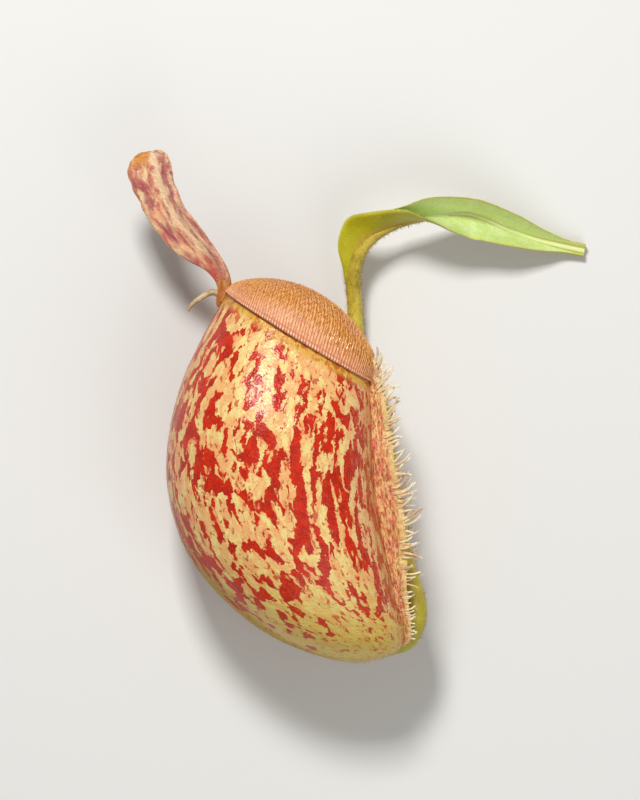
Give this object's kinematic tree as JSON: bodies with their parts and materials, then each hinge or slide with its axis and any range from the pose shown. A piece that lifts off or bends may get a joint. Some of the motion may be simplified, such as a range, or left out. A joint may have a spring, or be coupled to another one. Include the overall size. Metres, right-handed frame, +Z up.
{
  "type": "pitcher plant leaf with its pitcher",
  "caption": "Picked leaf of a tropical pitcher plant: a folded blade, a tendril and a swollen hollow pitcher with a ribbed collar, narrow lid and fringed wings, lying on its side.",
  "frame": {"origin": "on the surface that the part lies on, under the middle of its box", "axes": "+Z up from the surface, +Y from the foot of the pitcher to the tip of its lid, +X from the pitcher's back to the leaf's stalk"},
  "size_m": [0.1102, 0.1219, 0.05],
  "materials": {
    "cup": "glossy thick leaf skin, cream and salmon with dark red splotches",
    "peristome": "glossy, finely ribbed, copper orange",
    "lid": "thin leaf skin, pink cream with purple red flecks",
    "spur": "thin tan stalk",
    "wing": "thin translucent cream leaf edge with red brown flecks",
    "tendril": "smooth olive green stem with short brown hairs",
    "leaf": "waxy green leaf"
  },
  "bodies": {
    "root": {"pitcher_cup": "cup", "peristome": "peristome", "lid": "lid", "spur": "spur", "wing_near": "wing", "wing_far": "wing", "tendril": "tendril", "leaf_blade": "leaf"}
  },
  "joints": []
}
